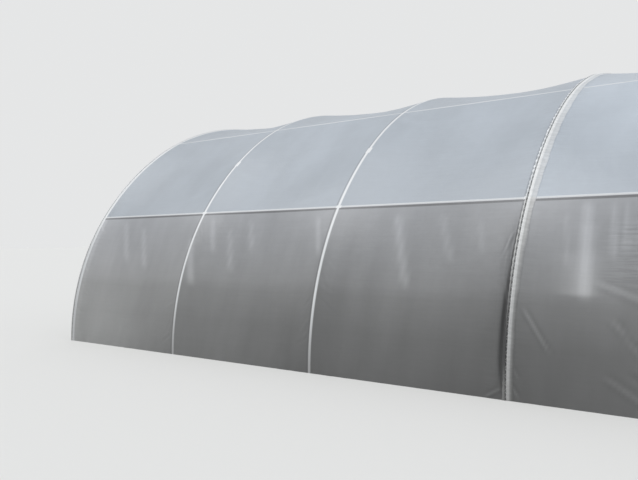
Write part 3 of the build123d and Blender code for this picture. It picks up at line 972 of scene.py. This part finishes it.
# Small fixings, gathered into one mesh a kind
class Fixings:
    """Points and faces of many small fixings."""

    def __init__(self):
        self.points = []
        self.faces = []

    def add(self, points, faces):
        start = len(self.points)
        self.points += [tuple(p) for p in points]
        self.faces += [tuple(start + i for i in face) for face in faces]

    def turned(self, base, axis, profile, sides, twist=0.0):
        """A turned or hexagonal head: rings of (radius, height) along an axis."""
        axis = Vector(axis).normalized()
        other = axis.orthogonal().normalized()
        third = axis.cross(other)
        points = []
        for radius, height in profile:
            for k in range(sides):
                angle = twist + 2 * math.pi * k / sides
                spoke = other * math.cos(angle) + third * math.sin(angle)
                points.append(Vector(base) + axis * height + spoke * radius)
        top = tuple((len(profile) - 1) * sides + k for k in range(sides))
        self.add(points, [tuple(range(sides))[::-1], *ring_faces(len(profile), sides), top])

    def screw(self, base, axis, size=0.0085):
        """A hexagonal washer-head screw, its underside at base."""
        self.turned(base, axis, [(size, 0), (size, 0.0009), (size * 0.72, 0.0016)], 20)
        hexagon = [(size * 0.62, 0.0014), (size * 0.62, 0.0048), (size * 0.52, 0.0056)]
        self.turned(base, axis, hexagon, 6, rng.uniform(0, 1))

    def pan(self, base, axis, size=0.0055):
        """A pan-head screw, its underside at base."""
        rings = ((1.0, 0), (1.0, 0.0010), (0.82, 0.0021), (0.45, 0.0028), (0.30, 0.0022))
        self.turned(base, axis, [(size * share, height) for share, height in rings], 16)

    def block(self, low, high):
        """A small plate between two corners, with its edges broken by a bevel."""
        low, high = Vector(low), Vector(high)
        soft = min(high - low) * 0.22
        points = []
        for z, inset in ((low.z, soft), (low.z + soft, 0), (high.z - soft, 0), (high.z, soft)):
            left, right = low.x + inset, high.x - inset
            front, back = low.y + inset, high.y - inset
            points += [(left, front, z), (right, front, z), (right, back, z), (left, back, z)]
        self.add(points, [(3, 2, 1, 0), (12, 13, 14, 15), *ring_faces(4, 4)])

    def piece(self, name, kind):
        made = mesh_piece(name, self.points, self.faces, MATERIALS[kind], smooth_shade=False)


EAR_MIDDLE = 0.064
EAR_DEPTH = 0.039
HOOP_INSIDE = 2 * HOOP_RADIUS
SWAGE_STEPS = (0.028, 0.062)
BRACE_TOP = 1.80
BRACE_FOOT = 0.20
BRACE_DEPTH = HOOP_INSIDE + 0.0008 + 0.034
BRACE_STEP = 0.0078
BATTEN_HALF = 0.015
BATTEN_SCREWS = 9


def screws_outwards(name, places, depth, size):
    """Screws at (x, length along the hoop) that point outwards, their undersides at a depth."""
    fixings = Fixings()
    for x, along in places:
        yz, way = arch_at(along, -depth)
        fixings.screw((x, yz[0], yz[1]), (0, -way[0], -way[1]), size)
    fixings.piece(name, "bolt")


def make_hoop_screws():
    """Screws up through the straps' ears, through the swaged joints, and through the braces' ends."""
    ears = [(hoop + side * EAR_MIDDLE, line) for hoop, side in BAY_ENDS for line in HOLDS[1:-1]]
    screws_outwards("strap_screws", ears, EAR_DEPTH, 0.0085)
    swages = [TO_HOOP_JOINT + step for step in SWAGE_STEPS]
    swages += [ARCH_LENGTH - TO_HOOP_JOINT - step for step in SWAGE_STEPS]
    joints = [(hoop, along) for hoop in HOOPS for along in swages]
    screws_outwards("hoop_joint_screws", joints, HOOP_INSIDE - 0.0001, 0.0075)
    braces = []
    for end in (-1, 1):
        for hoop, height in ((end * HALF_LENGTH, BRACE_TOP), (end * (HALF_LENGTH - BAY), BRACE_FOOT)):
            along = HAUNCH_RADIUS * math.asin(height / HAUNCH_RADIUS)
            for length in (along, ARCH_LENGTH - along):
                braces += [(hoop - BRACE_STEP, length), (hoop + BRACE_STEP, length)]
    screws_outwards("brace_screws", braces, BRACE_DEPTH, 0.0070)


def make_batten_screws():
    """Pan-head screws down the battens round each doorway."""
    fixings = Fixings()
    for end, side in (("left_end", -1), ("right_end", 1)):
        low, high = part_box(f"{end}_door_battens")
        face = low.x if side < 0 else high.x
        edge = high.y - BATTEN_HALF
        for z in np.linspace(0.12, DOOR_HEIGHT - 0.12, BATTEN_SCREWS):
            for y in (-edge, edge):
                fixings.pan((face, y, z), (side, 0, 0))
        for y in np.linspace(-DOOR_HALF + 0.1, DOOR_HALF - 0.1, BATTEN_SCREWS):
            fixings.pan((face, y, high.z - BATTEN_HALF), (side, 0, 0))
    fixings.piece("batten_screws", "bolt")


def make_brackets():
    """Angle brackets with screws where the rails and the header meet the door posts."""
    plates, screws = Fixings(), Fixings()
    leg, thick, half, size = 0.045, 0.003, 0.019, 0.0058
    outer_face = DOOR_HALF + 2 * END_TUBE_HALF + 0.0004
    inner_face = DOOR_HALF - 0.0004
    corners = [(outer_face, RAIL_HEIGHT, 1), (outer_face, DOOR_HEIGHT, 1), (inner_face, DOOR_HEIGHT, -1)]
    for end in (-HALF_LENGTH, HALF_LENGTH):
        for side in (-1, 1):
            for face, under, way in corners:
                y, z, way = side * face, under - 0.0003, side * way
                for reach, bottom, top in ((thick, z - leg, z - thick), (leg, z - thick, z)):
                    low_y, high_y = sorted((y, y + way * reach))
                    plates.block((end - half, low_y, bottom), (end + half, high_y, top))
                for step in (-0.009, 0.009):
                    screws.screw((end + step, y + way * thick, z - 0.026), (0, way, 0), size)
                    screws.screw((end + step, y + way * 0.028, z - thick), (0, 0, -1), size)
    plates.piece("frame_brackets", "strap")
    screws.piece("bracket_screws", "bolt")


TAPE_TURN = math.radians(38)
TAPE_FACES = (0.0001, 0.0008)
TAPE_COLUMNS = 9


def make_tape(number, hoop):
    """A strip of pale foam tape on the outer side of a hoop, between the tube and the film."""
    turns = np.linspace(-TAPE_TURN, TAPE_TURN, TAPE_COLUMNS)
    turns = np.concatenate([turns, turns[::-1]])
    radii = HOOP_RADIUS + np.repeat(TAPE_FACES, TAPE_COLUMNS)
    middle, way = arch_at(np.linspace(0.0, ARCH_LENGTH, 150), -HOOP_RADIUS)
    yz = middle[:, None, :] + way[:, None, :] * (radii * np.cos(turns))[:, None]
    x = np.broadcast_to((hoop + radii * np.sin(turns))[:, None], (*yz.shape[:2], 1))
    ring = np.concatenate([x, yz], axis=2)
    rows, columns = ring.shape[:2]
    faces = ring_faces(rows, columns)
    faces.append(tuple(range(columns))[::-1])
    faces.append(tuple((rows - 1) * columns + c for c in range(columns)))
    piece = mesh_piece(f"hoop_{number}_tape", ring.reshape(-1, 3), faces, MATERIALS["tape"])


# Finishes of the solids: the first word that a node's name holds gives its material
FINISHES = {"channel": "channel", "battens": "channel", "strap": "strap", "purlin": "purlin"}
FINISHES |= {"brace": "purlin", "film": "end", "cover": "end", "flap": "flap", "hoop_": "hoop"}


def finish_solids():
    """Gives every CAD node its material."""
    for name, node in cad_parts.items():
        kind = next((kind for word, kind in FINISHES.items() if word in name), "frame")
        node.data.materials.clear()
        node.data.materials.append(MATERIALS[kind])


# Stage
FLOOR_COLOUR = (0.74, 0.735, 0.72)
FLOOR_REACH = 300.0
FLOOR_BELOW = 0.0005
BACKDROP_COLOUR = (0.785, 0.792, 0.795)
SKY_COLOUR = (0.94, 0.97, 1.0)
SKY_STRENGTH = 0.62
SUN_LEVEL = 0.55
SUN_ANGLE = 50.0
SUN_FROM = (-0.42, -0.28, 0.86)


def make_floor():
    """A plain pale floor."""
    mesh = bpy.data.meshes.new("floor")
    corners = [(x * FLOOR_REACH, y * FLOOR_REACH, 0) for x, y in ((-1, -1), (1, -1), (1, 1), (-1, 1))]
    mesh.from_pydata(corners, [], [(0, 1, 2, 3)])
    s = Shader(bpy.data.materials.new("floor_pale"))
    s.surface.inputs["Specular IOR Level"].default_value = 0.1
    mesh.materials.append(s.finish((*FLOOR_COLOUR, 1.0), 0.9))
    floor = placed("floor", mesh)
    floor.location.z = -FLOOR_BELOW


def make_world():
    """Even pale light, and a pale backdrop for the camera and for reflections."""
    bpy.context.scene.world = bpy.data.worlds.new("studio")
    s = Shader(bpy.context.scene.world)
    light = s.tree.nodes["Background"]
    light.inputs["Color"].default_value = (*SKY_COLOUR, 1.0)
    light.inputs["Strength"].default_value = SKY_STRENGTH
    seen = s.add("Background", (*BACKDROP_COLOUR, 1.0))
    rays = s.add("LightPath").outputs
    picked = s.most(rays["Is Camera Ray"], rays["Is Glossy Ray"], rays["Is Transmission Ray"])
    mixed = s.add("MixShader", picked, light.outputs[0], seen.outputs[0])
    s.link(mixed.outputs[0], s.tree.nodes["World Output"].inputs["Surface"])


def make_sun():
    """One broad soft light from high on the left."""
    lamp = bpy.data.lights.new("soft_sun", "SUN")
    lamp.energy = math.pi * SUN_LEVEL
    lamp.angle = math.radians(SUN_ANGLE)
    placed("soft_sun", lamp).rotation_euler = Vector(SUN_FROM).to_track_quat("Z", "Y").to_euler()


CAMERA_PLACE = Vector((2.717, -10.980, 1.599))
CAMERA_YAW = 0.6545
CAMERA_PITCH = 0.0024
CAMERA_ROLL = -0.0090
CAMERA_LENS = 38.9
CAMERA_SENSOR = 36.0
CAMERA_FAR = 500


def make_camera():
    """The photograph's viewpoint, at eye height before the long side."""
    data = bpy.data.cameras.new("camera")
    data.sensor_width = CAMERA_SENSOR
    data.lens = CAMERA_LENS
    data.clip_end = CAMERA_FAR
    camera = placed("camera", data)
    aim = Matrix.Rotation(CAMERA_YAW, 4, "Z") @ Matrix.Rotation(math.pi / 2 + CAMERA_PITCH, 4, "X")
    camera.matrix_world = Matrix.Translation(CAMERA_PLACE) @ aim @ Matrix.Rotation(CAMERA_ROLL, 4, "Z")
    bpy.context.scene.camera = camera


# Making
bpy.context.scene.view_settings.view_transform = "Standard"
make_camera()
make_world()
make_sun()
make_floor()
finish_solids()
make_cover("left_cover", HOOPS[0], JOINT)
make_cover("right_cover", JOINT, HOOPS[-1])
make_flap("joint_flap_film", JOINT, 1, "flat", "joint_flap")
make_flap("joint_trimmed_edge", JOINT, -1, "trimmed")
for end, hoop, side in (("left_end", HOOPS[0], -1), ("right_end", HOOPS[-1], 1)):
    make_flap(f"{end}_flap", hoop, side, "turned")
    for part in ("front", "back", "above_door"):
        make_end_film(end, part)
for hoop, lock in LOCKS.items():
    make_wire(f"{lock}_wire", hoop)
for number, hoop in enumerate(HOOPS, start=1):
    if hoop not in LOCKS:
        make_tape(number, hoop)
make_hoop_screws()
make_batten_screws()
make_brackets()
